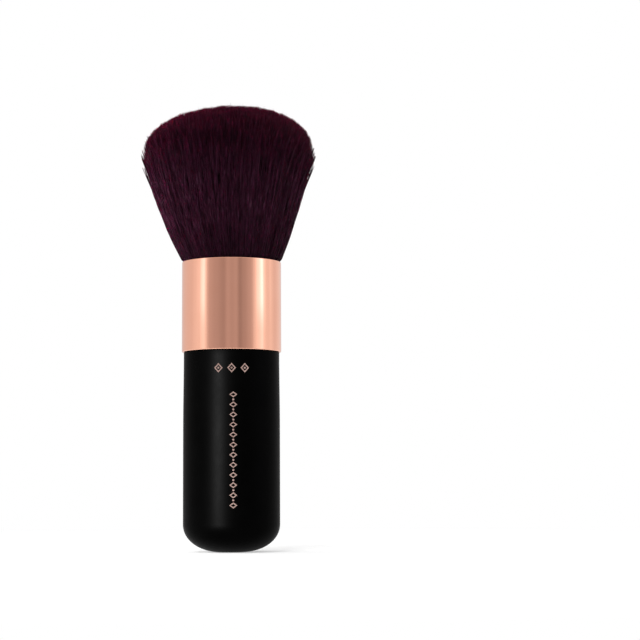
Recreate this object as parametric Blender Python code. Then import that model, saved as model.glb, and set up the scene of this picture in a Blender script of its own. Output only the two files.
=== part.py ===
"""Powder brush: a domed tuft of synthetic filaments in a drawn metal ferrule on a short turned handle.

The brush stands on the small flat of its handle. The origin is the centre of that flat, +Z runs up
the handle's axis to the crown of the tuft, and -Y is the front. Lengths are in metres.
"""

import math

import bmesh
import bpy

MM = 0.001

# Every bonded joint is drawn with the film of adhesive left open between the two pieces.
BOND_GAP = 0.3 * MM

# Ferrule, a drawn tube. The handle's shoulder and everything inside follow its radius and wall.
FERRULE_RADIUS = 12.2 * MM
FERRULE_WALL = 0.5 * MM
LIP_ROUND_SHARE = 0.42  # of the wall, at each corner of both rims

# Handle, turned in one piece with its tenon. Its heights add up from the foot to the shoulder.
FOOT_FLAT_RADIUS = 2.4 * MM
FOOT_RISE = 6.85 * MM
FOOT_CURVE_POWER = 2.12
BELLY_LENGTH = 23.55 * MM
NECK_LENGTH = 18.0 * MM
BELLY_SWELL = 0.14 * MM  # belly over shoulder
SHOULDER_STEP = 0.5 * MM  # ferrule over shoulder
SHOULDER_ROUND = 0.35 * MM

# Tenon, with turned grooves that key the adhesive
TENON_GAP = 0.35 * MM
TENON_CHAMFER = 0.9 * MM
GROOVE_COUNT = 2
GROOVE_WIDTH = 1.8 * MM
GROOVE_DEPTH = 1.0 * MM
GROOVE_LAND = 1.5 * MM

# Resin plug that pots the roots of the tuft
PLUG_LENGTH = 5.55 * MM
PLUG_MENISCUS = 0.5 * MM

# Thread that ties the roots together before they are potted
THREAD_DIAMETER = 0.6 * MM
THREAD_SPACE = 0.45 * MM
THREAD_TURNS = 3
THREAD_POINTS_PER_TURN = 24

# Bonded root of the tuft, drawn in to a waist by the thread
ROOT_RIM_LENGTH = 0.9 * MM
MOUTH_DEPTH = 1.2 * MM  # the filaments come free this far below the ferrule's mouth

# Outline of the tuft above the mouth. Its heights add up from the mouth to the crown.
SKIRT_RISE = 21.0 * MM  # mouth to the tips of the outermost filaments
SHOULDER_RISE = 5.4 * MM  # those tips to the widest place
CROWN_RISE = 12.1 * MM  # widest place to crown
TUFT_RADIUS = 21.4 * MM
SKIRT_INSET = 1.2 * MM  # outermost tips inside the widest place
CROWN_POWER = 2.25
FLARE_POWER = 0.74  # under 1, the sheaf spreads fastest where it leaves the mouth
TUFT_LEAN = 0.95 * MM  # sway of the tuft's centre line to -X

# Locks of filaments. Those at the side have one more ring, where they bend over the ferrule's lip.
STRAND_COUNT = 384
STRAND_SIDES = 3
STRAND_FILL_SHARE = 0.92  # of the room between neighbours
STRAND_SHOULDER_SHARE = 0.86  # of a strand's height, where it is thickest
STRAND_TIP_SHARE = 0.3  # of its thickness there
STRAND_SINK = 0.8 * MM  # into the bonded root
STRAND_STAGGER = 0.5 * MM  # spread of the tip heights
BEND_RISE = 3.6 * MM
SIDE_STRAND_SHARE = 0.86  # of the sheaf's radius, where the side begins

# Facets
ROUND_SEGMENTS = 64
INNER_SEGMENTS = 40
FOOT_STEPS = 12
NECK_STEPS = 4
CORNER_STEPS = 3
LIP_STEPS = 2

# Worked out from the sizes above
BORE_RADIUS = FERRULE_RADIUS - FERRULE_WALL
SEAT_RADIUS = BORE_RADIUS - BOND_GAP
SHOULDER_RADIUS = FERRULE_RADIUS - SHOULDER_STEP
HANDLE_RADIUS = SHOULDER_RADIUS + BELLY_SWELL
SHOULDER_Z = FOOT_RISE + BELLY_LENGTH + NECK_LENGTH
TENON_RADIUS = BORE_RADIUS - TENON_GAP
TENON_LENGTH = GROOVE_COUNT * (GROOVE_LAND + GROOVE_WIDTH) + GROOVE_LAND + TENON_CHAMFER
TENON_TOP_Z = SHOULDER_Z + TENON_LENGTH
PLUG_Z = TENON_TOP_Z + BOND_GAP
ROOT_Z = PLUG_Z + PLUG_LENGTH + BOND_GAP
THREAD_PITCH = THREAD_DIAMETER + THREAD_SPACE
THREAD_RADIUS = THREAD_DIAMETER / 2
WINDING_RADIUS = SEAT_RADIUS - THREAD_RADIUS
WAIST_RADIUS = WINDING_RADIUS - THREAD_RADIUS - BOND_GAP
WAIST_LENGTH = THREAD_TURNS * THREAD_PITCH + THREAD_DIAMETER + 2 * BOND_GAP
ROOT_LENGTH = WAIST_LENGTH + 2 * ROOT_RIM_LENGTH
ROOT_TOP_Z = ROOT_Z + ROOT_LENGTH
FERRULE_Z = SHOULDER_Z + BOND_GAP
MOUTH_Z = ROOT_TOP_Z + MOUTH_DEPTH
TUFT_RISE = SKIRT_RISE + SHOULDER_RISE + CROWN_RISE
SKIRT_RADIUS = TUFT_RADIUS - SKIRT_INSET

# A sunflower pattern spreads the strands evenly over the round root.
GOLDEN_ANGLE = math.pi * (3 - math.sqrt(5))
GOLDEN_SHARE = (math.sqrt(5) - 1) / 2
CLOSEST_SHARE = 1.6  # its least spacing, times the root of its count, over its radius

TIP_SEARCH_STEPS = 40  # halvings of the height in which a strand's tip is sought
AXIS_WELD = 0.001 * MM
SMOOTH_ANGLE = math.radians(35)


def clear_scene():
    for obj in list(bpy.data.objects):
        bpy.data.objects.remove(obj, do_unlink=True)


def finish_material(name, colour, roughness, metallic=0.0):
    material = bpy.data.materials.new(name)
    material.use_nodes = True
    shader = material.node_tree.nodes["Principled BSDF"]
    shader.inputs["Base Color"].default_value = (*colour, 1.0)
    shader.inputs["Roughness"].default_value = roughness
    shader.inputs["Metallic"].default_value = metallic
    material.diffuse_color = (*colour, 1.0)
    return material


def add_object(name, data, material):
    obj = bpy.data.objects.new(name, data)
    data.materials.append(material)
    bpy.context.scene.collection.objects.link(obj)
    return obj


def turned(name, profile, segments, material):
    """A solid of revolution about Z. An outline that starts and ends on the axis is spun as it is.
    Any other outline is closed first, and makes a ring. Points are (radius, height)."""
    solid_core = profile[0][0] == 0 and profile[-1][0] == 0
    bm = bmesh.new()
    verts = [bm.verts.new((radius, 0, z)) for radius, z in profile]
    edges = [bm.edges.new(pair) for pair in zip(verts, verts[1:])]
    if not solid_core:
        edges.append(bm.edges.new((verts[-1], verts[0])))
    bmesh.ops.spin(
        bm,
        geom=verts + edges,
        cent=(0, 0, 0),
        axis=(0, 0, 1),
        dvec=(0, 0, 0),
        angle=2 * math.pi,
        steps=segments,
        use_merge=True,
    )
    if solid_core:
        poles = [v for v in bm.verts if v.co.x == 0 and v.co.y == 0]
        bmesh.ops.remove_doubles(bm, verts=poles, dist=AXIS_WELD)
    bmesh.ops.recalc_face_normals(bm, faces=bm.faces)
    mesh = bpy.data.meshes.new(name)
    bm.to_mesh(mesh)
    bm.free()
    mesh.shade_smooth()
    mesh.set_sharp_from_angle(angle=SMOOTH_ANGLE)
    return add_object(name, mesh, material)


def arc(centre, radius, start, end, steps):
    """Points (radius, height) round an arc from start to end, in degrees, both ends included."""
    angles = [math.radians(start + (end - start) * i / steps) for i in range(steps + 1)]
    return [(centre[0] + radius * math.cos(a), centre[1] + radius * math.sin(a)) for a in angles]


def foot_curve():
    """The rounded end of the handle, from the rim of its flat up to the straight belly."""
    curve_width = HANDLE_RADIUS - FOOT_FLAT_RADIUS
    points = []
    for i in range(FOOT_STEPS + 1):
        # Equal steps of angle crowd the points where the curve turns fastest.
        across = math.sin(math.pi / 2 * i / FOOT_STEPS)
        drop = (1 - across**FOOT_CURVE_POWER) ** (1 / FOOT_CURVE_POWER)
        points.append((FOOT_FLAT_RADIUS + curve_width * across, FOOT_RISE * (1 - drop)))
    return points


def neck_curve():
    """The gentle taper from the top of the belly to the edge of the shoulder."""
    start = FOOT_RISE + BELLY_LENGTH
    length = NECK_LENGTH - SHOULDER_ROUND
    points = []
    for i in range(NECK_STEPS + 1):
        share = i / NECK_STEPS
        fall = BELLY_SWELL * (1 - math.cos(math.pi * share)) / 2
        points.append((HANDLE_RADIUS - fall, start + length * share))
    return points


def tenon_outline():
    """The grooved tenon, from the shoulder up to its end on the axis."""
    floor = TENON_RADIUS - GROOVE_DEPTH
    points = [(TENON_RADIUS, SHOULDER_Z)]
    for i in range(GROOVE_COUNT):
        low, high = groove_span(i)
        points += [(TENON_RADIUS, low), (floor, low), (floor, high), (TENON_RADIUS, high)]
    points += [
        (TENON_RADIUS, TENON_TOP_Z - TENON_CHAMFER),
        (TENON_RADIUS - TENON_CHAMFER, TENON_TOP_Z),
        (0, TENON_TOP_Z),
    ]
    return points


def groove_span(index):
    """Lowest and highest point of one groove of the tenon."""
    low = SHOULDER_Z + GROOVE_LAND + index * (GROOVE_WIDTH + GROOVE_LAND)
    return low, low + GROOVE_WIDTH


def make_handle(material):
    edge_centre = (SHOULDER_RADIUS - SHOULDER_ROUND, SHOULDER_Z - SHOULDER_ROUND)
    edge = arc(edge_centre, SHOULDER_ROUND, 0, 90, CORNER_STEPS)
    profile = [(0, 0)] + foot_curve() + neck_curve() + edge[1:] + tenon_outline()
    return turned("handle", profile, ROUND_SEGMENTS, material)


def make_ferrule(material):
    rounding = FERRULE_WALL * LIP_ROUND_SHARE
    corners = [
        ((FERRULE_RADIUS - rounding, FERRULE_Z + rounding), -90),
        ((FERRULE_RADIUS - rounding, MOUTH_Z - rounding), 0),
        ((BORE_RADIUS + rounding, MOUTH_Z - rounding), 90),
        ((BORE_RADIUS + rounding, FERRULE_Z + rounding), 180),
    ]
    profile = []
    for centre, start in corners:
        profile += arc(centre, rounding, start, start + 90, LIP_STEPS)
    return turned("ferrule", profile, ROUND_SEGMENTS, material)


def make_adhesive_beads(material):
    """One ring of adhesive in each groove of the tenon, reaching out to the ferrule's bore."""
    inner = TENON_RADIUS - GROOVE_DEPTH + BOND_GAP
    for i in range(GROOVE_COUNT):
        low, high = groove_span(i)
        low, high = low + BOND_GAP, high - BOND_GAP
        profile = [(inner, low), (SEAT_RADIUS, low), (SEAT_RADIUS, high), (inner, high)]
        turned(f"adhesive_bead_{i + 1}", profile, INNER_SEGMENTS, material)


def make_potting_plug(material):
    """Resin poured in behind the roots. Its back face is drawn into a shallow meniscus."""
    hollow = []
    for i in range(CORNER_STEPS + 1):
        share = i / CORNER_STEPS
        hollow.append((SEAT_RADIUS * share, PLUG_Z + PLUG_MENISCUS * (1 - share**2)))
    top = [(SEAT_RADIUS, PLUG_Z + PLUG_LENGTH), (0, PLUG_Z + PLUG_LENGTH)]
    return turned("potting_plug", hollow + top, INNER_SEGMENTS, material)


def make_root_thread(material):
    """The winding in the waist of the root, one unbroken tube."""
    start_z = ROOT_Z + ROOT_RIM_LENGTH + BOND_GAP + THREAD_RADIUS
    steps = THREAD_TURNS * THREAD_POINTS_PER_TURN
    points = []
    for i in range(steps + 1):
        turn = i / THREAD_POINTS_PER_TURN
        angle = 2 * math.pi * turn
        x, y = WINDING_RADIUS * math.cos(angle), WINDING_RADIUS * math.sin(angle)
        points.append((x, y, start_z + THREAD_PITCH * turn))
    one_turn = THREAD_POINTS_PER_TURN
    gaps = [math.dist(a, b) - THREAD_DIAMETER for a, b in zip(points, points[one_turn:])]
    print(f"root thread: least gap between turns {min(gaps) / MM:.2f} mm")
    curve = bpy.data.curves.new("root_thread", "CURVE")
    curve.dimensions = "3D"
    curve.bevel_depth = THREAD_RADIUS
    curve.bevel_resolution = 1
    curve.use_fill_caps = True
    spline = curve.splines.new("POLY")
    spline.points.add(len(points) - 1)
    for slot, point in zip(spline.points, points):
        slot.co = (*point, 1)
    return add_object("root_thread", curve, material)


def make_tuft_root(material):
    """The bonded disc of filament roots, with the waist that the thread draws in."""
    waist_low = ROOT_Z + ROOT_RIM_LENGTH
    waist_high = waist_low + WAIST_LENGTH
    profile = [
        (0, ROOT_Z),
        (SEAT_RADIUS, ROOT_Z),
        (SEAT_RADIUS, waist_low),
        (WAIST_RADIUS, waist_low),
        (WAIST_RADIUS, waist_high),
        (SEAT_RADIUS, waist_high),
        (SEAT_RADIUS, ROOT_TOP_Z),
        (0, ROOT_TOP_Z),
    ]
    return turned("bristle_tuft", profile, INNER_SEGMENTS, material)


def flare_radius(rise):
    """Radius of the sheaf of filaments at a height above the mouth, if none of them ended. The seat's
    and the skirt's radius are those of the flat sides of its outermost strands. Below the bend it is
    straight, and passes the ferrule's lip with a gap."""
    mouth = SEAT_RADIUS - strand_radius(SEAT_RADIUS) / 2
    skirt = SKIRT_RADIUS - strand_radius(SKIRT_RADIUS) / 2
    spread = skirt - mouth
    if rise < BEND_RISE:
        return mouth + spread * (BEND_RISE / SKIRT_RISE) ** FLARE_POWER * rise / BEND_RISE
    return mouth + spread * (rise / SKIRT_RISE) ** FLARE_POWER


def outline_radius(rise):
    """Radius of the trimmed tuft: a dome over the widest place, tucked in under it."""
    above = rise - SKIRT_RISE - SHOULDER_RISE
    if above < 0:
        return TUFT_RADIUS - SKIRT_INSET * (above / SHOULDER_RISE) ** 2
    share = min(1, above / CROWN_RISE)
    return TUFT_RADIUS * (1 - share**CROWN_POWER) ** (1 / CROWN_POWER)


def strand_radius(sheaf_radius):
    """Radius of a strand that leaves a gap to its neighbours in a sheaf of that radius."""
    spacing = CLOSEST_SHARE * sheaf_radius / math.sqrt(STRAND_COUNT)
    return STRAND_FILL_SHARE * spacing / 2


def tip_rise(out):
    """Height above the mouth where a strand meets the trimmed outline. The strand's place is out,
    from 0 on the centre line to 1 at the side."""
    low, high = SKIRT_RISE, TUFT_RISE
    for _ in range(TIP_SEARCH_STEPS):
        middle = (low + high) / 2
        if out * flare_radius(middle) > outline_radius(middle):
            high = middle
        else:
            low = middle
    return low


def lean_at(rise):
    """Sway of the centre line. It is nil at the mouth and at the crown."""
    share = max(0, rise / TUFT_RISE)
    return -TUFT_LEAN * 4 * share * (1 - share)


def strand_rings(index):
    """A strand's rings from root to tip, each (x, y, z, radius), and its bearing. Every strand keeps
    its own share of the sheaf's radius at every height, so no two of them cross."""
    out = math.sqrt((index + 0.5) / STRAND_COUNT)
    bearing = index * GOLDEN_ANGLE
    tip = tip_rise(out) - STRAND_STAGGER * (index * GOLDEN_SHARE % 1)
    shoulder = tip * STRAND_SHOULDER_SHARE
    rises = [-MOUTH_DEPTH - STRAND_SINK, shoulder, tip]
    if out > SIDE_STRAND_SHARE:
        rises.insert(1, BEND_RISE)
    sheaves = [flare_radius(rise) for rise in rises]
    radii = [strand_radius(sheaf) for sheaf in sheaves]
    radii[-1] = radii[-2] * STRAND_TIP_SHARE
    rings = []
    for rise, sheaf, radius in zip(rises, sheaves, radii):
        x = out * sheaf * math.cos(bearing) + lean_at(rise)
        rings.append((x, out * sheaf * math.sin(bearing), MOUTH_Z + rise, radius))
    return rings, bearing


def add_strand(bm, index):
    """One closed strand with a flat side facing out of the tuft."""
    rings, bearing = strand_rings(index)
    corner_angles = [bearing + (2 * i + 1) * math.pi / STRAND_SIDES for i in range(STRAND_SIDES)]
    loops = []
    for x, y, z, radius in rings:
        corners = [(x + radius * math.cos(a), y + radius * math.sin(a), z) for a in corner_angles]
        loops.append([bm.verts.new(corner) for corner in corners])
    bm.faces.new(reversed(loops[0]))
    bm.faces.new(loops[-1])
    for low, high in zip(loops, loops[1:]):
        for side in range(STRAND_SIDES):
            following = (side + 1) % STRAND_SIDES
            bm.faces.new((low[side], low[following], high[following], high[side]))


def make_strands(material):
    bm = bmesh.new()
    for index in range(STRAND_COUNT):
        add_strand(bm, index)
    mesh = bpy.data.meshes.new("strands")
    bm.to_mesh(mesh)
    bm.free()
    strands = add_object("strands", mesh, material)
    strands.hide_render = True
    strands.display_type = "WIRE"
    return strands


def make_bristle_tuft(material):
    """The strands, fused to the bonded root that holds them."""
    tuft = make_tuft_root(material)
    union = tuft.modifiers.new("Fuse strands", "BOOLEAN")
    union.operation = "UNION"
    union.solver = "EXACT"
    union.object = make_strands(material)
    return tuft


def main():
    clear_scene()
    black_lacquer = finish_material("black lacquer", (0.012, 0.012, 0.013), 0.38)
    rose_metal = finish_material("rose metal", (0.80, 0.50, 0.40), 0.16, 1.0)
    adhesive = finish_material("clear adhesive", (0.72, 0.66, 0.50), 0.30)
    resin = finish_material("potting resin", (0.55, 0.42, 0.22), 0.25)
    thread = finish_material("binding thread", (0.75, 0.72, 0.66), 0.85)
    filament = finish_material("plum filament", (0.030, 0.005, 0.014), 0.45)
    make_handle(black_lacquer)
    make_adhesive_beads(adhesive)
    make_ferrule(rose_metal)
    make_potting_plug(resin)
    make_root_thread(thread)
    make_bristle_tuft(filament)


main()
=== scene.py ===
"""Looks of the powder brush: satin black handle, polished rose metal ferrule and a dense plum tuft.

Lengths are in metres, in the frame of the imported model: the brush stands on the origin, +Z runs up
its axis to the crown of the tuft, and -Y is the front.
"""

import math

import bmesh
import bpy
import numpy as np
from mathutils import Matrix, Vector
from mathutils.kdtree import KDTree


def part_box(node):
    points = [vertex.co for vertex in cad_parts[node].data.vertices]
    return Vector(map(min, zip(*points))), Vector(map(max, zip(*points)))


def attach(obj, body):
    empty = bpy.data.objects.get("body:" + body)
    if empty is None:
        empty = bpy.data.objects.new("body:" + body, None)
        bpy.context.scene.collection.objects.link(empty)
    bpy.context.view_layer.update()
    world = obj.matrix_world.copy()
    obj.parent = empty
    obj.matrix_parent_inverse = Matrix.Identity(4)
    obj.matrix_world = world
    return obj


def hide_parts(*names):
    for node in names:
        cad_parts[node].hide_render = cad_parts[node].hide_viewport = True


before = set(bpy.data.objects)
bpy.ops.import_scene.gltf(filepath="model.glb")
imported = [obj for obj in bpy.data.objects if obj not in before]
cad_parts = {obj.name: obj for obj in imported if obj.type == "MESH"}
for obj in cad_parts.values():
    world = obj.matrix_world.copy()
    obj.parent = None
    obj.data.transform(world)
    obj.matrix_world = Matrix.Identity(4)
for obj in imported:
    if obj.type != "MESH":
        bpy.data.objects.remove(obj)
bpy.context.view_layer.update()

MM = 0.001
SEED = 2026
GOLDEN_ANGLE = math.pi * (3 - math.sqrt(5))

# Turned pieces
TURNED_SEGMENTS = 256
SMOOTH_ANGLE = math.radians(40)
ROUND_STEPS = 6

# Sizes read from the frame
HANDLE_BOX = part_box("handle")
FERRULE_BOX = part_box("ferrule")
TUFT_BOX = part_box("bristle_tuft")
THREAD_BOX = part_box("root_thread")
BEAD_BOXES = [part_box("adhesive_bead_1"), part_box("adhesive_bead_2")]
FERRULE_RADIUS = (FERRULE_BOX[1].x - FERRULE_BOX[0].x) / 2
FERRULE_Z = FERRULE_BOX[0].z
MOUTH_Z = FERRULE_BOX[1].z
TENON_TOP_Z = HANDLE_BOX[1].z
CROWN_Z = TUFT_BOX[1].z
ROOT_Z = TUFT_BOX[0].z
HANDLE_RADIUS = (HANDLE_BOX[1].x - HANDLE_BOX[0].x) / 2

# Ferrule
FERRULE_WALL = 0.5 * MM
LIP_ROUND = 0.21 * MM
BOND_GAP = 0.3 * MM
BORE_RADIUS = FERRULE_RADIUS - FERRULE_WALL
SEAT_RADIUS = BORE_RADIUS - BOND_GAP

# Handle
SHOULDER_STEP = 0.5 * MM
SHOULDER_RADIUS = FERRULE_RADIUS - SHOULDER_STEP
SHOULDER_ROUND = 0.2 * MM
JOINT_LINE = 0.02 * MM
SHOULDER_TOP_Z = FERRULE_Z - JOINT_LINE
NECK_END_Z = SHOULDER_TOP_Z - SHOULDER_ROUND
NECK_STEPS = 16
FOOT_FLAT_RADIUS = 2.4 * MM
FOOT_RISE = 6.85 * MM
FOOT_CURVE_POWER = 2.12
FOOT_STEPS = 40
BELLY_TOP_Z = 30.4 * MM
TENON_GAP = 0.35 * MM
TENON_RADIUS = BORE_RADIUS - TENON_GAP
TENON_CHAMFER = 0.9 * MM
GROOVE_DEPTH = 1.0 * MM

# Foil ornament on the handle; lozenges are given as (half width, half height)
FOIL_PROUD = 0.02 * MM
FOIL_SINK = -0.02 * MM
LOZENGE_CORNERS = [(0, 1), (1, 0), (0, -1), (-1, 0)]
LOZENGE_SIDE_STEPS = 3
DOT_SEGMENTS = 14
DOT_RADIUS = 0.24 * MM
HEAD_Z = 44.2 * MM
HEAD_PITCH = 3.2 * MM
HEAD_OUTER = (1.05 * MM, 1.15 * MM)
HEAD_INNER = (0.68 * MM, 0.76 * MM)
CHAIN_ACROSS = 0.4 * MM
CHAIN_TOP_Z = 37.8 * MM
CHAIN_LOW_Z = 11.4 * MM
CHAIN_LINKS = 12
LINK_OUTER = (0.95 * MM, 0.72 * MM)
LINK_INNER = (0.58 * MM, 0.40 * MM)

# Tuft; a rise is a height above the ferrule's mouth
TUFT_RISE = CROWN_Z - MOUTH_Z
SKIRT_RISE = 21.0 * MM
SHOULDER_RISE = 5.4 * MM
CROWN_RISE = TUFT_RISE - SKIRT_RISE - SHOULDER_RISE
TUFT_RADIUS = 21.4 * MM
SKIRT_INSET = 1.2 * MM
SKIRT_RADIUS = TUFT_RADIUS - SKIRT_INSET
CROWN_POWER = 2.25
FLARE_POWER = 0.74
TUFT_LEAN = 0.87 * MM
LEAN_POWER = 1.15
LEAN_END = 1.1  # of the tuft's rise
MOUTH_DEPTH = 1.2 * MM
LIP_BULGE = 0.35 * MM  # the hair swells as it leaves the ferrule's lip
LIP_CLEAR_RISE = 0.25 * MM
BULGE_SPAN = 1.6 * MM
SKIRT_DRAW = 0.32 * MM  # the skirt is drawn in a little half way up
DRAW_RISE = 12.5 * MM
DRAW_SPAN = 9 * MM
CROWN_TRIM = 0.15 * MM
CROWN_TILT = 0.6 * MM  # the dome stands a little higher on the right
SHOULDER_TUCK = 0.42 * MM  # the tuft is drawn in behind its loose locks
TUCK_RISE = 23.5 * MM
TUCK_SPAN = 5 * MM
TIP_SEARCH_START = 0.5  # of the skirt's rise
TIP_SEARCH_HALVINGS = 36

# Core of the tuft
THREAD_DIAMETER = 0.6 * MM
CORE_SHARE = 0.9  # of the sheaf's radius, and of the tuft's height
CORE_RIM = 0.98  # the out whose tips end the core's side
CORE_STEPS = 24
CORE_SEGMENTS = 96

# Filaments; a place is a point of the unit disc, which the sheaf's radius scales, and "out" is its
# distance from the axis there. Pairs are ranges, and a chance is a share of the filaments or clumps.
FILAMENT_COUNT = 33000
FILAMENT_SIDES = 3
FILAMENT_RADIUS = 0.062 * MM
FILAMENT_THICKNESS = (0.75, 1.15)  # shares of that radius
FILAMENT_TAPER = (0.72, 0.78, 1.4)  # where it starts, what it takes off at the tip, and its power
TURN_BY_TONE = 40  # turns each filament about its run by its own angle
PLACE_SCATTER = 0.005
BURIED_OUT = CORE_SHARE * 0.97  # further in, filaments start inside the core
BURIED_DEPTH = 1.2 * MM
OUTER_OUT = 0.92
PIECE_TRIANGLES = 190000  # at most
# Groups of filaments: (label, least out, the out where the next group begins, rings to a filament)
FILAMENT_GROUPS = [
    ("inner", 0, BURIED_OUT, 5),
    ("middle", BURIED_OUT, OUTER_OUT, 14),
    ("outer", OUTER_OUT, math.inf, 26),
]

# Clumps that the filaments gather into
CLUMP_COUNT = 760
CLUMP_SCATTER = 0.008
CLUMP_CUT = 0.10 * MM
CLUMP_PULL = (0.06, 0.2)
CLUMP_PULL_POWER = 1.5
PARTING_CHANCE = 0.7
PARTING_PULL = (0.2, 0.7)
PARTING_HEIGHT = (0.4, 0.9)
PARTING_SPAN = (0.07, 0.16)
SPLAY_CHANCE = 0.3
SPLAY = (0.3 * MM, 0.9 * MM)
SPLAY_OF_CLUMP = (0.6, 1.0)
SPLAY_OUT = (0.93, 0.97)
SPLAY_HEIGHT = (0.82, 1)

# Tips
TIP_SCATTER = 0.2 * MM
TALL_CHANCE = 0.02
TALL_EXTRA = (0.1 * MM, 0.5 * MM)
FEATHER_OUT = (0.86, 1)
FEATHER_DEPTH = 2.6 * MM
FEATHER_CHANCE = 0.45
FEATHER_RIM = (0.92, 0.97)
FEATHER_RIM_CHANCE = 0.35  # on top of the one above

# How filaments stray from their straight runs; holds are between shares of a filament's height
STRAY_CHANCE = 0.25
STRAY_DRIFT = 0.10
STEADY_DRIFT = 0.018
WAVES = (1.0, 4.0)
DIP = 0.2 * MM
LOOSE_CHANCE = 0.4
LOOSE_SLIDE = 0.22 * MM
FIRM_SLIDE = 0.06 * MM
ROOT_HOLD = (0, 0.25)
TIP_HOLD = (1, 5 / 6)
TIP_SLIDE_HOLD = (1.15, 0.525)

# Tones of the filaments, from 0, near black, to 1, mauve
BODY_TONE = 0.41
FILAMENT_SHADES = 0.055
CLUMP_SHADES = 0.03
TIP_CALM = 0.55
TIP_CALM_HEIGHT = (0.84, 0.96)
TIP_SHADE = 0.1
# Painted shade: the top of the dome is darkened where its face turns away from the light.
PAINTED_TOP_SHADE = 0.20
PAINTED_TOP_SHADE_RISE = (24 * MM, 32 * MM)
# Painted shade: the right of the dome is darkened as the side away from the key light.
PAINTED_RIGHT_SHADE = 0.13
PAINTED_RIGHT_SHADE_RISE = (19 * MM, 25 * MM)
# Painted shade: filaments deep in the tuft are darkened for the shade between them.
PAINTED_DEEP_SHADE = 0.28
PAINTED_DEEP_SHADE_OUT = (0.975, 0.925)
PAINTED_DEEP_SHADE_HEIGHT = (1, 0.875)
# Painted shade: the filaments are darkened at their roots, where they leave the ferrule's mouth.
PAINTED_ROOT_SHADE = 0.2
PAINTED_ROOT_SHADE_RISE = (8 * MM, 0)
TONE_SCALE = 240
GRAIN_DEPTH = 0.32
# how far the painted glints, a painted highlight, lighten a filament's tone
PAINTED_GLINT_DEPTH = 0.3

# Streaks that run over many filaments, painted into their tone: dark partings of painted shade and
# light streaks of painted glints. (columns round the tuft, rows up it, lean in columns a row,
# threshold, change of tone)
STREAKS = [
    (330, 17, 0.0, 0.80, -0.24),
    (300, 15, 1.0, 0.90, -0.20),
    (310, 16, -1.1, 0.90, -0.20),
    (340, 24, 1.1, 0.95, 0.26),
    (330, 22, -1.2, 0.95, 0.26),
    (360, 19, 0.2, 1.00, 0.22),
]
STREAK_EDGE = 0.55
STREAK_START = (0.6 * MM, 3.2 * MM)
STREAK_END = (33 * MM, 26 * MM)

# Loose locks round the shoulder
LOCK_COUNT = 210
LOCK_FILAMENTS = 10
LOCK_RINGS = 9
LOCK_LENGTH = 7 * MM
LOCK_END = (24 * MM, 32.5 * MM)
LOCK_END_SCATTER = 0.8 * MM
LOCK_OUT_SCATTER = 0.003
LOCK_SPREAD = 0.009
LOCK_GATHER = 0.6
LOCK_CLEAR = (-0.1 * MM, 0.3 * MM)
LOCK_ROOT_DEPTH = 0.3 * MM
LOCK_SWAY = 0.4 * MM
LOCK_TONE = 0.34
LOCK_SHADES = 0.07
LOCK_THICKNESS = (0.75, 1.1)
LOCK_TAPER = (0.6, 0.75, 1.3)

# Map of the filaments: their tone runs across it and their height up it
MAP_LEFT = 0.02
MAP_WIDTH = 0.94
MAP_SIDE_STEP = 0.008
MAP_FOOT = 0.01
MAP_HEIGHT = 0.98

# Finishes: the depth of each one's relief, and how far light goes into a filament
LACQUER_RELIEF = 0.002 * MM
METAL_RELIEF = 0.0012 * MM
CORE_RELIEF = 0.2 * MM
FOIL_RELIEF = 0.01 * MM
RESIN_RELIEF = 0.02 * MM
GLOW_DEPTH = 0.05 * MM

# The ring of the studio as polished metal sees it: white round the sides and the back, two bright
# strips beside the camera, and the darker room behind it. Stops are (azimuth in degrees, level).
STUDIO_RING = [
    (-180, 0.72), (-150, 0.74), (-125, 0.80), (-107, 0.82), (-93, 0.93), (-84, 1.05), (-79, 1.08),
    (-74.5, 1.5), (-67, 1.75), (-62, 1.12), (-57, 0.70), (-52, 0.55), (-37, 0.48), (-18, 0.40),
    (-8.6, 0.51), (1, 0.47), (10, 0.50), (19.4, 0.35), (29, 0.43), (43.6, 0.54), (48.6, 0.63),
    (53.8, 0.90), (64.5, 1.50), (76, 2.2), (81, 1.35), (88, 1.0), (95, 0.94), (102, 1.04),
    (110, 0.90), (118, 0.82), (140, 0.88), (180, 0.72),
]
RING_SCALE = 2.5  # brings the ring's levels under 1 in its colour ramp
STRIP_LEVEL = 0.95
STRIP_FOOT = (0.02, 0.12)
STRIP_SUNK = 0.6
OVERHEAD = (0.35, 0.8)
AMBIENT_LEVEL = 0.62
WARM_LEVELS = (0.35, 1.0)
WARM_TINT = 0.10
COOL_LEVELS = (1.0, 2.2)
COOL_TINT = 0.14

# Floor
FLOOR_RADIUS = 0.25
FLOOR_SEGMENTS = 96
FLOOR_FADE = (0.03, FLOOR_RADIUS - 0.01)
FLOOR_WHITE = (0.4, 1.0)

# Camera, fitted to the photograph's two ferrule rims
EYE = Vector((0, -450 * MM, 16 * MM))
AIM_X = 21.79 * MM
CAMERA_PITCH = math.radians(5.168)
FRAME_WIDTH = 157.1 * MM  # seen at the brush's distance
SENSOR = 36


def feed(tree, socket, value):
    """Links a socket to a node's output, or sets it to a number or a colour."""
    if isinstance(value, bpy.types.NodeSocket):
        tree.links.new(value, socket)
    else:
        socket.default_value = value


def feed_all(tree, node, values):
    for name, value in values.items():
        feed(tree, node.inputs[name], value)


def new_material(name):
    """A material, its node tree and its shader."""
    material = bpy.data.materials.new(name)
    material.use_nodes = True
    tree = material.node_tree
    return material, tree, tree.nodes["Principled BSDF"]


def math_node(tree, operation, *values):
    node = tree.nodes.new("ShaderNodeMath")
    node.operation = operation
    for socket, value in zip(node.inputs, values):
        feed(tree, socket, value)
    return node.outputs[0]


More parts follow.
